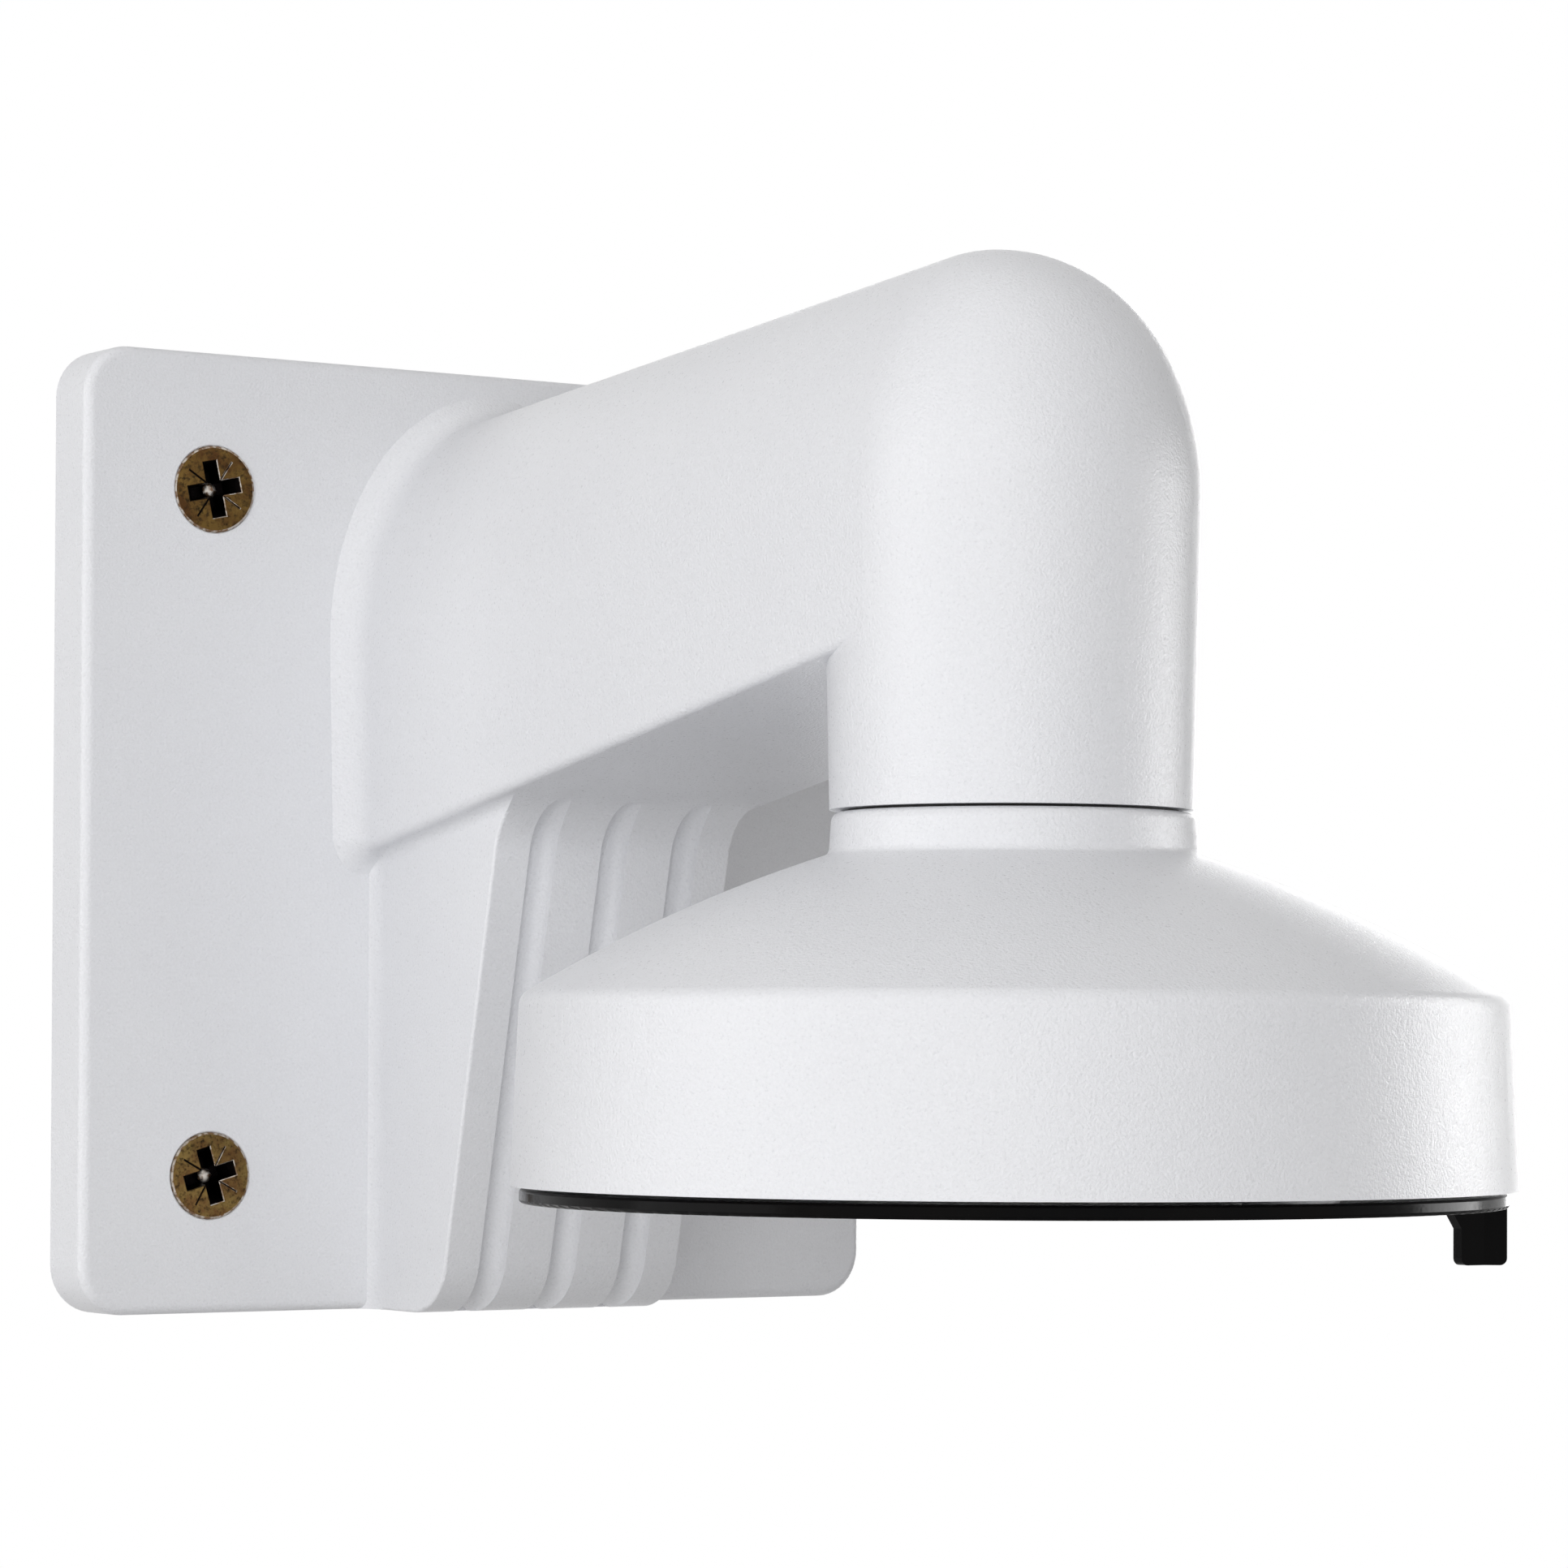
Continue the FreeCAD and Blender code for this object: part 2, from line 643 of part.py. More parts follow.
def cap_screws():
    """Three socket screws up through the cap's neck into the nose."""
    up = Vec(0, 0, 1)
    under = nose_foot_height - cap_gap - cap_neck_floor
    screws = []
    for place in nose_screw_places(cap_screw_circle, cap_screw_count):
        head = round_bar(cap_screw_head_diameter, place + up * (under - cap_screw_head_height),
                         cap_screw_head_height, up)
        top_edge = [e for e in head.Edges if e.BoundBox.ZMax < under - cap_screw_head_height / 2]
        head = head.makeFillet(cap_screw_head_height / 4, top_edge)
        length = cap_neck_floor + cap_gap + cap_screw_grip
        screw = head.fuse(round_bar(cap_screw_diameter, place + up * under, length, up))
        key = hexagon(place + up * (under - cap_screw_head_height), cap_screw_key_size, cap_screw_key_depth)
        screws.append(screw.cut(key).removeSplitter())
    return Part.makeCompound(screws)


def hexagon(start, across_flats, depth):
    """A hexagonal socket going up from a point."""
    reach = across_flats / math.sqrt(3)
    corners = []
    for i in range(7):
        turn = math.pi / 3 * i
        corners.append(start + Vec(reach * math.cos(turn), reach * math.sin(turn), 0))
    return Part.Face(Part.makePolygon(corners)).extrude(Vec(0, 0, depth))


def camera_plate():
    """The black disc that the camera fixes to, with its openings and its bent tab."""
    up = Vec(0, 0, 1)
    top = nose_foot_height - cap_rim_drop - camera_plate_gap
    low = top - camera_plate_thickness
    disc = round_bar(2 * camera_plate_radius, Vec(0, -arm_reach, low), camera_plate_thickness, up)
    disc = disc.makeFillet(camera_plate_thickness / 4, [e for e in disc.Edges if e.BoundBox.ZLength < 1e-3])
    disc = disc.fuse(camera_tab(top))
    disc = disc.cut(round_bar(camera_plate_opening, Vec(0, -arm_reach, low), camera_plate_thickness, up))
    for place in nose_screw_places(camera_hole_circle, camera_hole_count):
        turned = turned_place(place, 180.0 / camera_hole_count)
        disc = disc.cut(round_bar(camera_hole_diameter, turned + up * low, camera_plate_thickness, up))
    for place in nose_screw_places(plate_screw_circle, plate_screw_count):
        disc = disc.cut(plate_screw_seat(place + up * low, hole_clearance))
    return disc.removeSplitter()


def turned_place(place, angle):
    """A point moved round the nose's axis by an angle in degrees."""
    turn = FreeCAD.Rotation(Vec(0, 0, 1), angle)
    axis = Vec(0, -arm_reach, 0)
    return axis + turn.multVec(place - axis)


def plate_screw_seat(start, clearance):
    """A countersink and hole up from a point, or with no clearance the screw that fills it."""
    head = plate_screw_head_diameter / 2
    shank = plate_screw_diameter / 2
    cone = Part.makeCone(head, shank, head - shank, start, Vec(0, 0, 1))
    return cone.fuse(round_bar(plate_screw_diameter + 2 * clearance, start, camera_plate_thickness, Vec(0, 0, 1)))


def plate_screws():
    """Three countersunk screws up through the camera plate into the cap's bosses."""
    up = Vec(0, 0, 1)
    low = nose_foot_height - cap_rim_drop - camera_plate_gap - camera_plate_thickness
    screws = []
    for place in nose_screw_places(plate_screw_circle, plate_screw_count):
        start = place + up * low
        shank = round_bar(plate_screw_diameter, start, plate_screw_length, up)
        screw = plate_screw_seat(start, 0.0).fuse(shank)
        recess = cross_recess(plate_screw_recess, plate_screw_recess_wing, plate_screw_recess_depth)
        recess.translate(start)
        screws.append(screw.cut(recess).removeSplitter())
    return Part.makeCompound(screws)


def cross_recess(width, wing, depth):
    """A tapering cross, from the XY plane upwards, as a driver leaves it in a screw's head."""
    wings = []
    for turn in (0, 90):
        sections = []
        for z, reach, thick in ((0, width, wing), (depth, 0.55 * width, 0.7 * wing)):
            sections.append(Part.makePolygon([
                Vec(-reach / 2, -thick / 2, z),
                Vec(reach / 2, -thick / 2, z),
                Vec(reach / 2, thick / 2, z),
                Vec(-reach / 2, thick / 2, z),
                Vec(-reach / 2, -thick / 2, z),
            ]))
        wing_solid = Part.makeLoft(sections, True, True)
        wing_solid.rotate(Vec(0, 0, 0), Vec(0, 0, 1), turn)
        wings.append(wing_solid)
    return wings[0].fuse(wings[1])


def camera_tab(top):
    """The tab: an outer leaf across the view of the rim and an inner leaf turned at the fold."""
    foot = top - camera_plate_thickness - tab_drop
    outer_radius = camera_plate_radius - tab_corner_radius / 4
    leaf_top = top - camera_plate_thickness / 2
    outer = Part.makeBox(outer_radius - tab_fold_radius, tab_thickness, leaf_top - foot,
                         Vec(tab_fold_radius, -tab_thickness / 2, foot))
    lower = [e for e in outer.Edges if e.BoundBox.XMin > outer_radius - 1e-3 and e.BoundBox.ZMax < foot + 1e-3]
    outer = outer.makeFillet(tab_corner_radius, lower)
    plate_foot = top - camera_plate_thickness
    inner_points = [
        Vec(tab_fold_radius, 0, leaf_top),
        Vec(tab_inner_radius - tab_shoulder_width, 0, leaf_top),
        Vec(tab_inner_radius - tab_shoulder_width, 0, plate_foot),
        Vec(tab_inner_radius, 0, plate_foot - tab_shoulder_height),
        Vec(tab_inner_radius, 0, foot),
        Vec(tab_fold_radius, 0, foot),
        Vec(tab_fold_radius, 0, leaf_top),
    ]
    inner = Part.Face(Part.makePolygon(inner_points)).extrude(Vec(0, tab_thickness, 0))
    inner.translate(Vec(0, -tab_thickness / 2, 0))
    corner = [e for e in inner.Edges if e.BoundBox.XMax < tab_inner_radius + 1e-3 and e.BoundBox.ZMax < foot + 1e-3]
    inner = inner.makeFillet(tab_corner_radius, corner)
    inner.rotate(Vec(tab_fold_radius, 0, 0), Vec(0, 0, 1), tab_fold_angle)
    fold = Part.makeCylinder(tab_thickness / 2, leaf_top - foot, Vec(tab_fold_radius, 0, foot))
    tab = outer.fuse([inner, fold])
    tab.rotate(Vec(0, 0, 0), Vec(0, 0, 1), tab_direction)
    tab.translate(Vec(0, -arm_reach, 0))
    return tab


def wall_screws():
    """Four countersunk screws: a thin neck through the plate, then the thread that goes into the wall."""
    head = screw_head_diameter / 2
    neck = screw_neck_diameter / 2
    thread = screw_thread_diameter / 2
    front = -plate_thickness - screw_head_proud
    seat = screw_seat()
    tip = front + screw_length
    outline = [
        Vec(0, front, 0), Vec(head, front, 0), Vec(head, seat, 0), Vec(neck, seat + head - neck, 0),
        Vec(neck, 0, 0), Vec(thread, 0, 0), Vec(thread, tip - screw_point_length, 0), Vec(0, tip, 0),
        Vec(0, front, 0),
    ]
    screw = Part.Face(Part.makePolygon(outline)).revolve(Vec(0, 0, 0), Vec(0, 1, 0), 360)
    recess = cross_recess(screw_recess_width, screw_recess_wing, screw_recess_depth)
    recess.rotate(Vec(0, 0, 0), Vec(0, 0, 1), screw_recess_turn)
    recess.rotate(Vec(0, 0, 0), Vec(1, 0, 0), -90)
    recess.translate(Vec(0, front, 0))
    screw = screw.cut(recess).removeSplitter()
    screws = []
    for x, z in screw_places():
        placed = screw.copy()
        placed.translate(Vec(x, 0, z))
        screws.append(placed)
    return Part.makeCompound(screws)


def main():
    os.makedirs("parts", exist_ok=True)
    pieces = [bracket_casting, cap, neck_seal, cap_screws, camera_plate, plate_screws, wall_screws]
    for piece in pieces:
        shape = piece()
        print(piece.__name__, shape.isValid(), len(shape.Solids), len(shape.Faces), round(shape.Volume))
        shape.exportStep("parts/" + piece.__name__ + ".step")


main()
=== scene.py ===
import math

import bmesh
import bpy
from mathutils import Matrix, Vector

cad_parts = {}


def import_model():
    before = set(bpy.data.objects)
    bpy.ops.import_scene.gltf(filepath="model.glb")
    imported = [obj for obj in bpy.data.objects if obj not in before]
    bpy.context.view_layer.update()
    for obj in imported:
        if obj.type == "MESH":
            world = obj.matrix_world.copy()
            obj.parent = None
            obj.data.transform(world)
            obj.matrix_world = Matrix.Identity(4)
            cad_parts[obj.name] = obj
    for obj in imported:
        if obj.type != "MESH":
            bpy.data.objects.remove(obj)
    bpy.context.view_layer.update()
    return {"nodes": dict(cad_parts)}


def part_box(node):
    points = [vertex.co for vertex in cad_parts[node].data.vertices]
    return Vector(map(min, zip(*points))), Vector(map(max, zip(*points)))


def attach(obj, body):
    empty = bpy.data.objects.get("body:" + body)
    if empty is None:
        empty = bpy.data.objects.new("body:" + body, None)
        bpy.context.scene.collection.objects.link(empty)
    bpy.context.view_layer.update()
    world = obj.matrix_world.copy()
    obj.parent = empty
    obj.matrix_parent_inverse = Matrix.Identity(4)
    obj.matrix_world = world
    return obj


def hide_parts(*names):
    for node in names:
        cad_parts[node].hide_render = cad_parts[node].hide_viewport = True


# The looks of a cast wall bracket for a small dome camera, in metres, in the frame of the CAD model:
# the wall is the plane Y = 0, Z is up and the arm reaches along -Y.

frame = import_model()

# Camera
camera_place = Vector((-0.34424, -0.59482, -0.02510))
camera_azimuth = math.radians(-33.585)
camera_pitch = math.radians(-1.036)
camera_roll = math.radians(0.253)
camera_lens = 121.88
camera_sensor = 36.0
camera_shift_y = 0.1004

# Light
ambient_strength = 0.17
ambient_colour = (1.0, 0.96, 0.94)
background_strength = 1.0
floor_height = -0.22
floor_radius = 0.9
floor_colour = (0.80, 0.80, 0.80, 1.0)
floor_lift_near = 0.15
floor_lift_far = 0.62

# Wall screws
screw_head_radius = 0.0054
screw_head_rim = 0.0004
screw_thread_radius = 0.0025
screw_root_radius = 0.0019
screw_thread_pitch = 0.0020
screw_point_length = 0.006
screw_edge_radius = 0.00030
screw_recess_reach = 0.0035
screw_recess_half_wing = 0.00092
screw_recess_depth = 0.0026
screw_recess_chamfer = 0.00011
screw_recess_turn = math.radians(-12.0)
wing_mouth_share = 0.9
wing_foot_reach_share = 0.62
wing_foot_width_share = 0.72
screw_tick_reach = 0.0041
screw_tick_half_width = 0.00007
screw_tick_depth = 0.00010
screw_core_radius = 0.00098
screw_core_depth = 0.0013
screw_core_crown = 0.00050
screw_core_facets = 7
screw_head_spokes = 72
screw_thread_spokes = 24
screw_thread_steps = 8
screw_crest_share = 0.28
screw_point_share = 0.04

# How a face of a wall screw is coloured: painted shade below 0, near black deep in the recess; whole plating
# at 0; bare metal toward 1, worn at the rim and a painted highlight on the core's crown and on the recess's
# left-facing chamfers
state_whole = 0.0
state_core_highlight = 1.0
state_rim_wear_and_chamfer_highlight = 0.8
state_shaded = -0.8
state_recess_shade = -1.0


def material(name):
    """A new material with its nodes, its links and its Principled shader."""
    made = bpy.data.materials.new(name)
    made.use_nodes = True
    tree = made.node_tree
    return made, tree, tree.nodes["Principled BSDF"]


def object_coordinates(tree):
    """The place of a point in the row's frame, in metres."""
    return tree.nodes.new("ShaderNodeTexCoord").outputs["Object"]


def noise(tree, coordinates, size, detail, roughness=0.5):
    """Noise with features of about one size, in metres."""
    node = tree.nodes.new("ShaderNodeTexNoise")
    node.inputs["Scale"].default_value = 1.0 / size
    node.inputs["Detail"].default_value = detail
    node.inputs["Roughness"].default_value = roughness
    tree.links.new(coordinates, node.inputs["Vector"])
    return node.outputs["Fac"]


def mapped(tree, value, low, high, from_low=0.3, from_high=0.7):
    """A noise value brought to a range."""
    node = tree.nodes.new("ShaderNodeMapRange")
    node.inputs["From Min"].default_value = from_low
    node.inputs["From Max"].default_value = from_high
    node.inputs["To Min"].default_value = low
    node.inputs["To Max"].default_value = high
    tree.links.new(value, node.inputs["Value"])
    return node.outputs["Result"]


def mixed(tree, value, low, high):
    """A mix of two colours, each fixed or from a node, by a value from 0 to 1."""
    node = tree.nodes.new("ShaderNodeMix")
    node.data_type = "RGBA"
    colours = [socket for socket in node.inputs if socket.type == "RGBA"]
    for socket, colour in zip(colours, (low, high)):
        if isinstance(colour, tuple):
            socket.default_value = colour
        else:
            tree.links.new(colour, socket)
    tree.links.new(value, node.inputs["Factor"])
    return [socket for socket in node.outputs if socket.type == "RGBA"][0]


def blended(tree, value, low, high):
    """A colour between two fixed ones, chosen by a value from 0 to 1."""
    return mixed(tree, value, (*low, 1.0), (*high, 1.0))


def bump(tree, height, distance, strength, under=None):
    """A bump from a height, laid over another bump if there is one."""
    node = tree.nodes.new("ShaderNodeBump")
    node.inputs["Distance"].default_value = distance
    node.inputs["Strength"].default_value = strength
    tree.links.new(height, node.inputs["Height"])
    if under is not None:
        tree.links.new(under, node.inputs["Normal"])
    return node.outputs["Normal"]


def powder_coat():
    """White powder coat on cast aluminium: satin, with a fine grain over a soft orange peel, and the grain's
    shade and light painted into its colour.
    """
    made, tree, shader = material("white_powder_coat")
    place = object_coordinates(tree)
    cloud = mapped(tree, noise(tree, place, 0.030, 3.0), 0.0, 1.0)
    grain = noise(tree, place, 0.00034, 2.0, 0.6)
    peel = noise(tree, place, 0.0011, 2.0, 0.5)
    # Painted shade and light of the grain: the base colour is darker in the grain's hollows and lighter on
    # its raised tops, following the bump's noise.
    grain_hollow_shade = blended(tree, cloud, (0.744, 0.752, 0.780), (0.766, 0.774, 0.800))
    grain_top_light = blended(tree, cloud, (0.790, 0.798, 0.826), (0.812, 0.820, 0.846))
    tree.links.new(mixed(tree, mapped(tree, grain, 0.0, 1.0), grain_hollow_shade, grain_top_light), shader.inputs["Base Color"])
    tree.links.new(mapped(tree, grain, 0.26, 0.46), shader.inputs["Roughness"])
    soft = bump(tree, peel, 0.00005, 0.6)
    tree.links.new(bump(tree, grain, 0.00014, 0.8, soft), shader.inputs["Normal"])
    shader.inputs["Specular IOR Level"].default_value = 0.65
    return made


def black_coat():
    """Satin black coat on pressed steel sheet."""
    made, tree, shader = material("black_satin_coat")
    place = object_coordinates(tree)
    cloud = mapped(tree, noise(tree, place, 0.012, 4.0), 0.0, 1.0)
    tint = blended(tree, cloud, (0.0012, 0.0013, 0.0016), (0.0032, 0.0028, 0.0027))
    tree.links.new(tint, shader.inputs["Base Color"])
    shader.inputs["Specular IOR Level"].default_value = 0.05
    fine = noise(tree, place, 0.0006, 3.0)
    tree.links.new(mapped(tree, fine, 0.12, 0.22), shader.inputs["Roughness"])
    tree.links.new(bump(tree, fine, 0.00003, 0.35), shader.inputs["Normal"])
    return made


def seal_rubber():
    """Matt black rubber with a slight grain."""
    made, tree, shader = material("seal_rubber")
    place = object_coordinates(tree)
    cloud = mapped(tree, noise(tree, place, 0.004, 3.0), 0.0, 1.0)
    tint = blended(tree, cloud, (0.018, 0.018, 0.018), (0.034, 0.033, 0.032))
    tree.links.new(tint, shader.inputs["Base Color"])
    fine = noise(tree, place, 0.0004, 3.0)
    tree.links.new(mapped(tree, fine, 0.65, 0.85), shader.inputs["Roughness"])
    tree.links.new(bump(tree, fine, 0.00004, 0.4), shader.inputs["Normal"])
    return made


def bright_steel():
    """Bright zinc on small steel screws."""
    made, tree, shader = material("bright_zinc_steel")
    place = object_coordinates(tree)
    cloud = mapped(tree, noise(tree, place, 0.003, 4.0), 0.0, 1.0)
    tint = blended(tree, cloud, (0.50, 0.50, 0.51), (0.66, 0.66, 0.67))
    tree.links.new(tint, shader.inputs["Base Color"])
    shader.inputs["Metallic"].default_value = 1.0
    fine = noise(tree, place, 0.0003, 4.0)
    tree.links.new(mapped(tree, fine, 0.25, 0.42), shader.inputs["Roughness"])
    tree.links.new(bump(tree, fine, 0.00002, 0.3), shader.inputs["Normal"])
    return made


def yellow_zinc():
    """Yellow passivated zinc, mottled toward brown, worn bare at the rim, with painted highlights of bare
    metal on the core and on the recess's left-facing chamfers, and painted shade, near black, in the recess.
    """
    made, tree, shader = material("yellow_passivated_zinc")
    place = object_coordinates(tree)
    cloud = mapped(tree, noise(tree, place, 0.0030, 4.0, 0.6), 0.0, 1.0, 0.40, 0.60)
    lower_screw_tint = blended(tree, cloud, (0.150, 0.080, 0.030), (0.225, 0.150, 0.050))
    upper_screw_tint = blended(tree, cloud, (0.085, 0.040, 0.015), (0.160, 0.095, 0.028))
    apart = tree.nodes.new("ShaderNodeSeparateXYZ")
    tree.links.new(place, apart.inputs[0])
    # Darker toward the top: the upper screws take the darker tint, the lower ones the lighter.
    height = mapped(tree, apart.outputs["Z"], 0.0, 1.0, -0.02, 0.02)
    patches = mixed(tree, height, lower_screw_tint, upper_screw_tint)
    speck = mapped(tree, noise(tree, place, 0.00055, 4.0, 0.7), 0.0, 1.0, 0.32, 0.52)
    tint = mixed(tree, speck, (0.030, 0.020, 0.010, 1.0), patches)
    scuffs = noise(tree, place, 0.0007, 2.0)
    scuffed = mapped(tree, scuffs, 0.0, 1.0, 0.42, 0.58)
    bare_wear_and_highlight = blended(tree, scuffed, (0.21, 0.13, 0.08), (0.62, 0.58, 0.53))
    state = tree.nodes.new("ShaderNodeAttribute")
    state.attribute_name = "wear_and_painted_light"
    # Bare metal on the worn rim and as painted highlights, near black as painted shade in the recess.
    wear_and_highlight = mapped(tree, state.outputs["Fac"], 0.0, 1.0, 0.0, 1.0)
    outside_painted_shade = mapped(tree, state.outputs["Fac"], 0.0, 1.0, -1.0, 0.0)
    tint = mixed(tree, wear_and_highlight, tint, bare_wear_and_highlight)
    tint = mixed(tree, outside_painted_shade, (0.004, 0.003, 0.003, 1.0), tint)
    tree.links.new(tint, shader.inputs["Base Color"])
    shader.inputs["Metallic"].default_value = 1.0
    fine = noise(tree, place, 0.0004, 5.0, 0.65)
    tree.links.new(mapped(tree, fine, 0.26, 0.50), shader.inputs["Roughness"])
    tree.links.new(bump(tree, fine, 0.00010, 0.6), shader.inputs["Normal"])
    return made


def coat_node(name, made):
    """Gives a CAD node its material."""
    slots = frame["nodes"][name].data.materials
    slots.clear()
    slots.append(made)


def head_with_recess(outline):
    """The turned head of a screw, its driver recess and its four ticks cut in, as a mesh object."""
    mesh = bpy.data.meshes.new("screw_head")
    build = bmesh.new()
    turned(build, outline, screw_head_spokes)
    bmesh.ops.recalc_face_normals(build, faces=build.faces)
    build.to_mesh(mesh)
    build.free()
    head = bpy.data.objects.new("screw_head", mesh)
    bpy.context.scene.collection.objects.link(head)
    front = outline[0][1]
    cutters = []
    for turn in (0.0, math.pi / 2):
        cutters.append(wing_cutter(turn, screw_recess_reach, screw_recess_half_wing, front,
                                   screw_recess_depth, screw_recess_chamfer))
    for turn in (math.pi / 4, 3 * math.pi / 4):
        cutters.append(wing_cutter(turn, screw_tick_reach, screw_tick_half_width, front,
                                   screw_tick_depth, screw_tick_half_width))
    for cutter in cutters:
        cut = head.modifiers.new("cut", "BOOLEAN")
        cut.operation = "DIFFERENCE"
        cut.solver = "EXACT"
        cut.object = cutter
    applied(head)
    for cutter in cutters:
        bpy.data.objects.remove(cutter)
    return head


def turned(build, outline, spokes):
    """A closed form turned round the Y axis from (radius, depth) points."""
    rings = []
    for radius, depth in outline:
        ring = []
        for i in range(spokes):
            turn = 2 * math.pi * i / spokes
            ring.append(build.verts.new((radius * math.cos(turn), depth, radius * math.sin(turn))))
        rings.append(ring)
    for low, high in zip(rings, rings[1:]):
        for i in range(spokes):
            j = (i + 1) % spokes
            build.faces.new((low[i], low[j], high[j], high[i]))
    build.faces.new(rings[0][::-1])
    build.faces.new(rings[-1])


def wing_cutter(turn, reach, half_wing, front, depth, chamfer):
    """A bar across the head that narrows downwards, as a driver's wing leaves it, with a chamfered mouth."""
    mesh = bpy.data.meshes.new("wing")
    build = bmesh.new()
    above = 4 * chamfer
    levels = (
        (front - above, reach + above + chamfer, half_wing + above + chamfer),
        (front + wing_mouth_share * chamfer, reach, half_wing),
        (front + depth, wing_foot_reach_share * reach, wing_foot_width_share * half_wing),
    )
    corners = ((-1, -1), (1, -1), (1, 1), (-1, 1))
    rows = []
    for y, along, across in levels:
        rows.append([build.verts.new((x * along, y, z * across)) for x, z in corners])
    for low, high in zip(rows, rows[1:]):
        for i in range(len(corners)):
            j = (i + 1) % len(corners)
            build.faces.new((low[i], low[j], high[j], high[i]))
    build.faces.new(rows[0])
    build.faces.new(rows[-1])
    bmesh.ops.recalc_face_normals(build, faces=build.faces)
    build.to_mesh(mesh)
    build.free()
    cutter = bpy.data.objects.new("wing", mesh)
    cutter.rotation_euler = (0.0, screw_recess_turn + turn, 0.0)
    bpy.context.scene.collection.objects.link(cutter)
    return cutter


def applied(piece):
    """Applies an object's modifiers to its mesh."""
    bpy.context.view_layer.update()
    graph = bpy.context.evaluated_depsgraph_get()
    mesh = bpy.data.meshes.new_from_object(piece.evaluated_get(graph))
    piece.modifiers.clear()
    piece.data = mesh


def threaded_shank(build, start, tip):
    """The screw from one depth to its tip: a plain neck up to the wall, then the thread down to the point."""
    spokes = screw_thread_spokes
    step = screw_thread_pitch / screw_thread_steps
    count = int((tip - start) / step)
    rows = []
    for k in range(count + 1):
        y = start + (tip - start) * k / count
        row = []
        for i in range(spokes):
            turn = 2 * math.pi * i / spokes
            radius = thread_radius(y, turn, tip)
            row.append(build.verts.new((radius * math.cos(turn), y, radius * math.sin(turn))))
        rows.append(row)
    for low, high in zip(rows, rows[1:]):
        for i in range(spokes):
            j = (i + 1) % spokes
            build.faces.new((low[i], low[j], high[j], high[i]))
    build.faces.new(rows[0][::-1])
    build.faces.new(rows[-1])


def thread_radius(y, turn, tip):
    """The radius of the neck or the thread at a depth and a turn."""
    if y < 0:
        return screw_root_radius
    phase = (y / screw_thread_pitch - turn / (2 * math.pi)) % 1.0
    crest = max(0.0, 1.0 - abs(phase - 0.5) / screw_crest_share)
    radius = screw_root_radius + (screw_thread_radius - screw_root_radius) * crest
    taper = min(1.0, max(screw_point_share, (tip - y) / screw_point_length))
    return radius * taper


def wall_screw_mesh():
    """One countersunk wall screw with its recess, ticks and thread, along +Y from the head's front."""
    low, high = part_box("wall_screws")
    front = low.y
    tip = high.y
    seat = front + screw_head_rim
    neck = seat + screw_head_radius - screw_root_radius
    edge = screw_edge_radius
    outline = [
        (screw_head_radius - edge, front),
        (screw_head_radius - 0.3 * edge, front + 0.3 * edge),
        (screw_head_radius, front + edge),
        (screw_head_radius, seat),
        (screw_root_radius, neck),
    ]
    head = head_with_recess(outline)
    build = bmesh.new()
    build.from_mesh(head.data)
    floor_depth = front + screw_recess_depth
    core_front = front + screw_core_depth
    turned(build, [
        (0.30 * screw_core_radius, core_front),
        (0.75 * screw_core_radius, core_front + 0.4 * screw_core_crown),
        (screw_core_radius, core_front + screw_core_crown),
        (screw_core_radius, floor_depth),
    ], screw_core_facets)
    threaded_shank(build, neck - screw_head_rim, tip)
    mesh = bpy.data.meshes.new("wall_screw")
    bmesh.ops.recalc_face_normals(build, faces=build.faces)
    build.to_mesh(mesh)
    build.free()
    bpy.data.objects.remove(head)
    return mesh


def wear_and_painted_light(face, front):
    """How a face of a screw is coloured, from its place on the head: worn at the rim, painted highlight or
    painted shade in the recess.
    """
    reach = math.hypot(face.center.x, face.center.z)
    depth = face.center.y - front
    flat = abs(face.normal.y) > 0.98
    # The core's crown: bare metal colour, a painted highlight.
    if reach < screw_core_radius and screw_core_depth <= depth < screw_core_depth + screw_core_crown:
        return state_core_highlight
    # The rim: worn bare.
    if reach > screw_head_radius - screw_edge_radius:
        return state_rim_wear_and_chamfer_highlight
    if depth < 0.00001 or depth > 1.01 * screw_recess_depth:
        return state_whole
    # The chamfers at the recess's mouth: those facing left, toward the lights, take a painted highlight of
    # bare metal, and those facing right take painted shade.
    if depth < screw_recess_chamfer and not flat:
        return state_rim_wear_and_chamfer_highlight if face.center.x > 0 else state_shaded
    # The recess's walls and floor: painted shade, near black.
    return state_recess_shade


def wall_screw_places():
    """The four screws' places on the plate, from the CAD node's box."""
    low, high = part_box("wall_screws")
    places = []
    for x in (low.x + screw_head_radius, high.x - screw_head_radius):
        for z in (low.z + screw_head_radius, high.z - screw_head_radius):
            places.append(Vector((x, 0.0, z)))
    return places


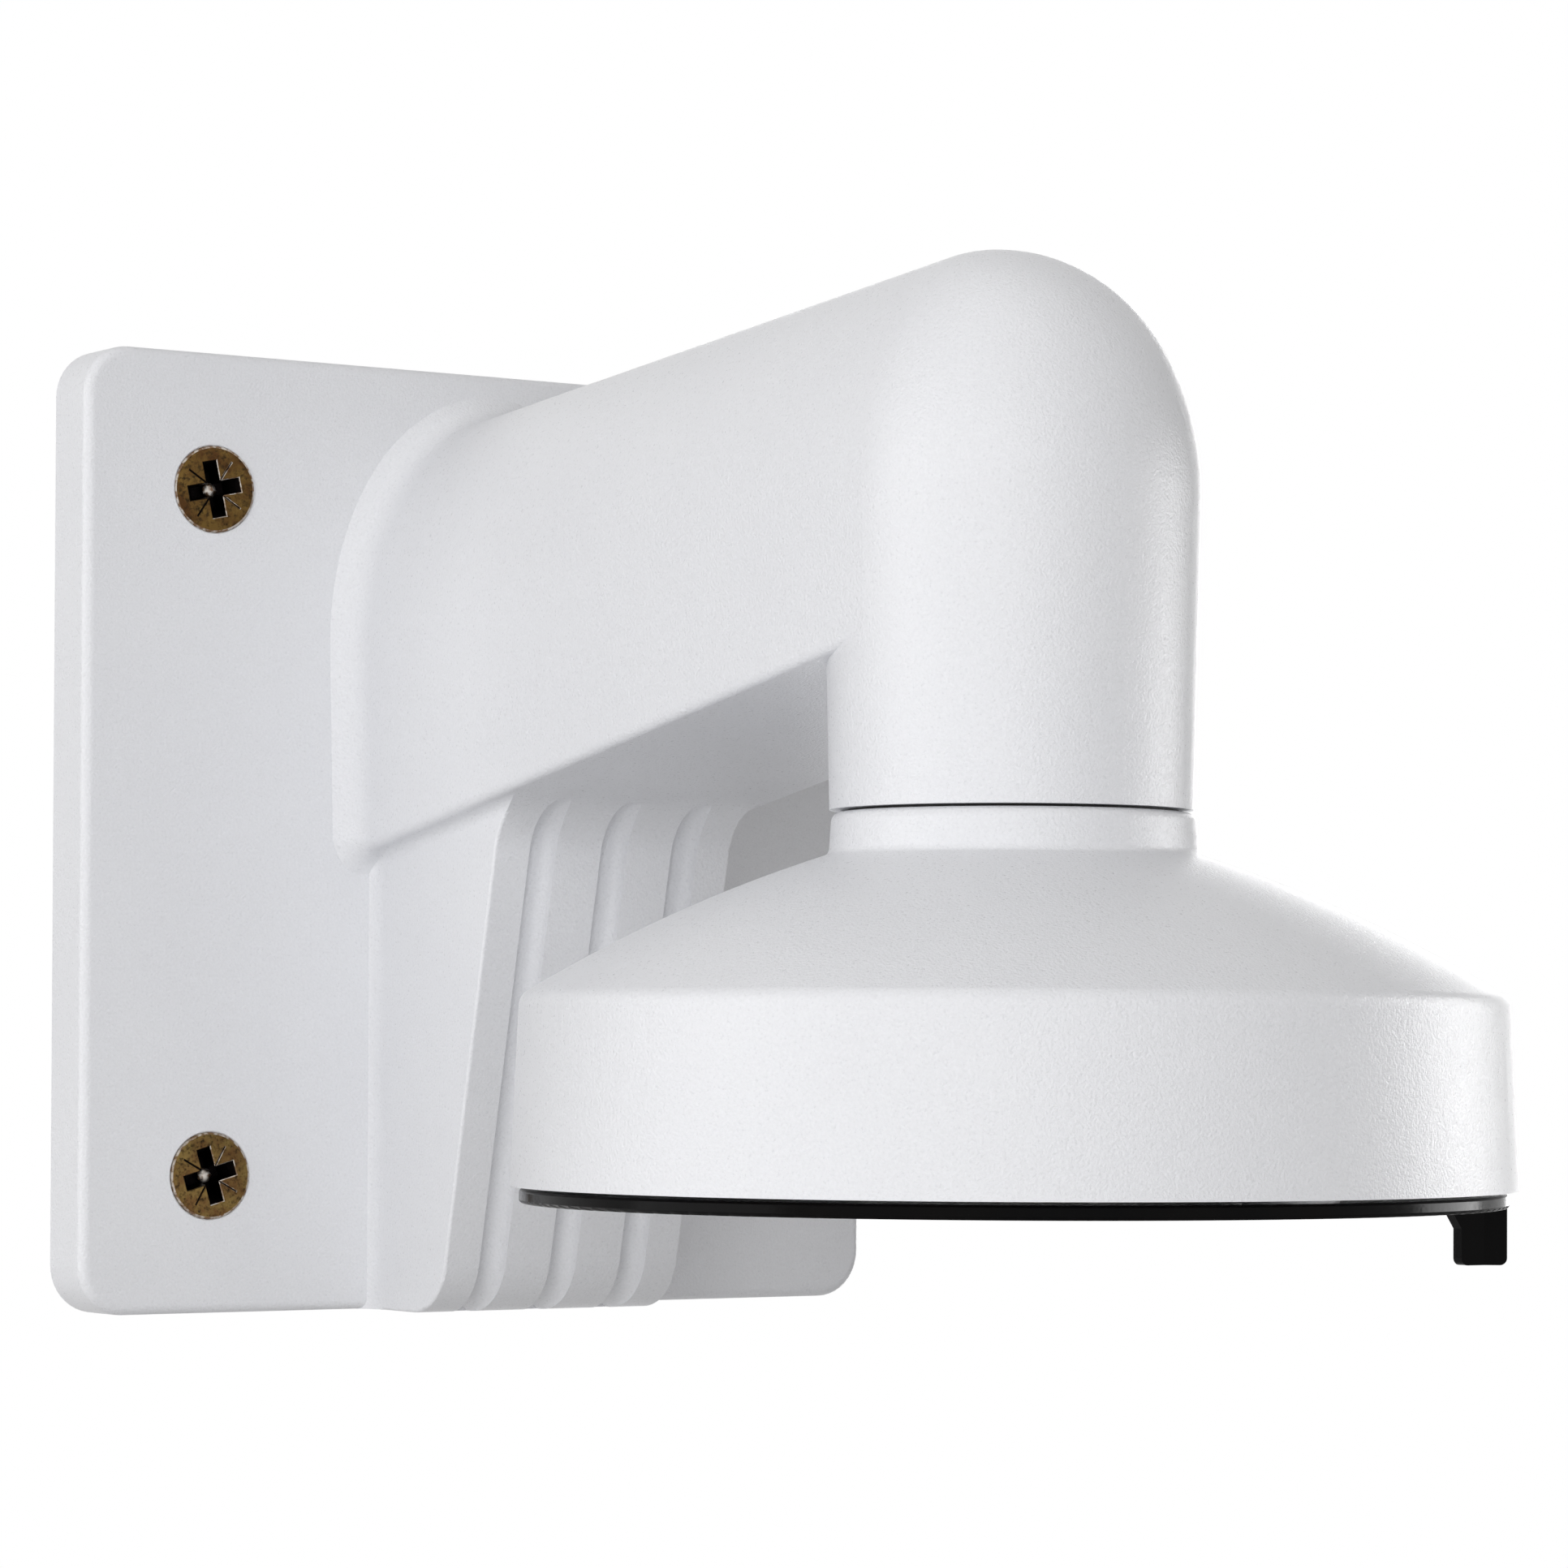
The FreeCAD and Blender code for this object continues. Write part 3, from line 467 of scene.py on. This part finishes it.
def wall_screws(made):
    """The four wall screws, each turned and leaning a little in its own way."""
    leans = {
        (-1, 1): (0.6, -4.0, 0.0),
        (-1, -1): (-0.4, -1.4, -4.0),
        (1, 1): (0.3, 0.8, 17.0),
        (1, -1): (0.0, 0.5, 31.0),
    }
    source = wall_screw_mesh()
    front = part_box("wall_screws")[0].y
    states = [wear_and_painted_light(face, front) for face in source.polygons]
    build = bmesh.new()
    for place in wall_screw_places():
        side = (int(math.copysign(1, place.x)), int(math.copysign(1, place.z)))
        tip_x, tip_z, turn = [math.radians(angle) for angle in leans[side]]
        pivot = Matrix.Translation(Vector((0.0, front, 0.0)))
        tipped = Matrix.Rotation(tip_z, 4, "Z") @ Matrix.Rotation(tip_x, 4, "X")
        lean = tipped @ Matrix.Rotation(turn, 4, "Y")
        placed = source.copy()
        placed.transform(Matrix.Translation(place) @ pivot @ lean @ pivot.inverted())
        build.from_mesh(placed)
        bpy.data.meshes.remove(placed)
    mesh = bpy.data.meshes.new("wall_screw_set")
    build.to_mesh(mesh)
    build.free()
    mesh.attributes.new("wear_and_painted_light", "FLOAT", "FACE").data.foreach_set("value", states * len(leans))
    bpy.data.meshes.remove(source)
    mesh.materials.append(made)
    piece = bpy.data.objects.new("wall_screw_set", mesh)
    bpy.context.scene.collection.objects.link(piece)
    shade_by_angle(piece, 35.0)
    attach(piece, "root")
    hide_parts("wall_screws")


def shade_by_angle(piece, degrees):
    """Smooth shading, with the edges sharper than an angle kept crisp."""
    mesh = piece.data
    build = bmesh.new()
    build.from_mesh(mesh)
    limit = math.radians(degrees)
    for face in build.faces:
        face.smooth = True
    for edge in build.edges:
        if len(edge.link_faces) == 2:
            edge.smooth = edge.calc_face_angle() < limit
    build.to_mesh(mesh)
    build.free()


def camera():
    """The camera at the photograph's place and angle."""
    data = bpy.data.cameras.new("camera")
    data.lens = camera_lens
    data.sensor_width = camera_sensor
    data.sensor_fit = "HORIZONTAL"
    data.shift_y = camera_shift_y
    data.clip_start = 0.01
    data.clip_end = 100.0
    flat = math.cos(camera_pitch)
    back = Vector((math.sin(camera_azimuth) * flat, -math.cos(camera_azimuth) * flat, math.sin(camera_pitch)))
    level = Vector((math.cos(camera_azimuth), math.sin(camera_azimuth), 0.0))
    rise = back.cross(level)
    right = level * math.cos(camera_roll) + rise * math.sin(camera_roll)
    up = rise * math.cos(camera_roll) - level * math.sin(camera_roll)
    made = bpy.data.objects.new("camera", data)
    made.matrix_world = Matrix.Translation(camera_place) @ Matrix((right, up, back)).transposed().to_4x4()
    bpy.context.scene.collection.objects.link(made)
    bpy.context.scene.camera = made


def area_light(name, place, width, height, power, aim=Vector((0.0, -0.06, -0.01))):
    """A soft rectangular light that faces the object and isn't seen itself."""
    data = bpy.data.lights.new(name, "AREA")
    data.shape = "RECTANGLE"
    data.size = width
    data.size_y = height
    data.energy = power
    made = bpy.data.objects.new(name, data)
    made.location = place
    made.rotation_euler = (aim - Vector(place)).to_track_quat("-Z", "Y").to_euler()
    made.visible_camera = False
    bpy.context.scene.collection.objects.link(made)
    return made


def lights():
    """Soft studio light from the front left, the left, above and the back right, with a card at the right."""
    main_light = area_light("main_light", (-0.632, -0.960, 0.229), 0.8, 0.8, 5.1)
    second_light = area_light("second_light", (-0.743, -0.714, 0.242), 0.8, 0.8, 2.1)
    area_light("left_light", (-0.853, 0.187, 0.078), 0.7, 0.7, 2.5)
    area_light("top_light", (-0.10, -0.15, 1.00), 0.8, 0.8, 1.7)
    area_light("back_light", (0.80, 0.75, 0.05), 0.6, 0.6, 4.5)
    card = area_light("right_card", (0.16, -0.19, -0.005), 0.08, 0.13, 0.23, Vector((0.0, -0.24, -0.005)))
    # The card only adds a highlight, and the two front lights none, or the coat's far edges would burn out.
    card.visible_diffuse = False
    main_light.visible_glossy = False
    second_light.visible_glossy = False


def seen_directly(tree):
    """1 for rays from the camera and for mirror and see-through rays, 0 for the rest."""
    path = tree.nodes.new("ShaderNodeLightPath")
    total = path.outputs["Is Camera Ray"]
    for kind in ("Is Glossy Ray", "Is Transmission Ray"):
        node = tree.nodes.new("ShaderNodeMath")
        node.operation = "MAXIMUM"
        tree.links.new(total, node.inputs[0])
        tree.links.new(path.outputs[kind], node.inputs[1])
        total = node.outputs[0]
    return total


def world():
    """A white background, with a weaker even light on the object."""
    made = bpy.data.worlds.new("world")
    made.use_nodes = True
    bpy.context.scene.world = made
    tree = made.node_tree
    background = tree.nodes["Background"]
    direct = seen_directly(tree)
    tree.links.new(blended(tree, direct, ambient_colour, (1.0, 1.0, 1.0)), background.inputs["Color"])
    strength = mapped(tree, direct, ambient_strength, background_strength, 0.0, 1.0)
    tree.links.new(strength, background.inputs["Strength"])


def floor():
    """A pale round floor, well below the bracket, whiter toward its edge."""
    made, tree, shader = material("pale_floor")
    shader.inputs["Base Color"].default_value = floor_colour
    shader.inputs["Roughness"].default_value = 0.9
    shader.inputs["Specular IOR Level"].default_value = 0.0
    shader.inputs["Emission Color"].default_value = (1.0, 1.0, 1.0, 1.0)
    place = object_coordinates(tree)
    distance = tree.nodes.new("ShaderNodeVectorMath")
    distance.operation = "LENGTH"
    tree.links.new(place, distance.inputs[0])
    lift = mapped(tree, distance.outputs["Value"], floor_lift_near, floor_lift_far, 0.15, 0.6)
    direct = seen_directly(tree)
    product = tree.nodes.new("ShaderNodeMath")
    product.operation = "MULTIPLY"
    tree.links.new(lift, product.inputs[0])
    tree.links.new(direct, product.inputs[1])
    tree.links.new(product.outputs[0], shader.inputs["Emission Strength"])
    mesh = bpy.data.meshes.new("floor")
    build = bmesh.new()
    bmesh.ops.create_circle(build, cap_ends=True, segments=96, radius=floor_radius)
    build.to_mesh(mesh)
    build.free()
    mesh.materials.append(made)
    piece = bpy.data.objects.new("floor", mesh)
    piece.location = (0.0, -0.06, floor_height)
    bpy.context.scene.collection.objects.link(piece)


def main():
    """Dresses the CAD nodes, adds the wall screws and sets the scene."""
    white = powder_coat()
    steel = bright_steel()
    coat_node("bracket_casting", white)
    coat_node("cap", white)
    coat_node("camera_plate", black_coat())
    coat_node("neck_seal", seal_rubber())
    coat_node("cap_screws", steel)
    coat_node("plate_screws", steel)
    wall_screws(yellow_zinc())
    camera()
    lights()
    world()
    floor()
    bpy.context.scene.view_settings.view_transform = "Standard"


main()
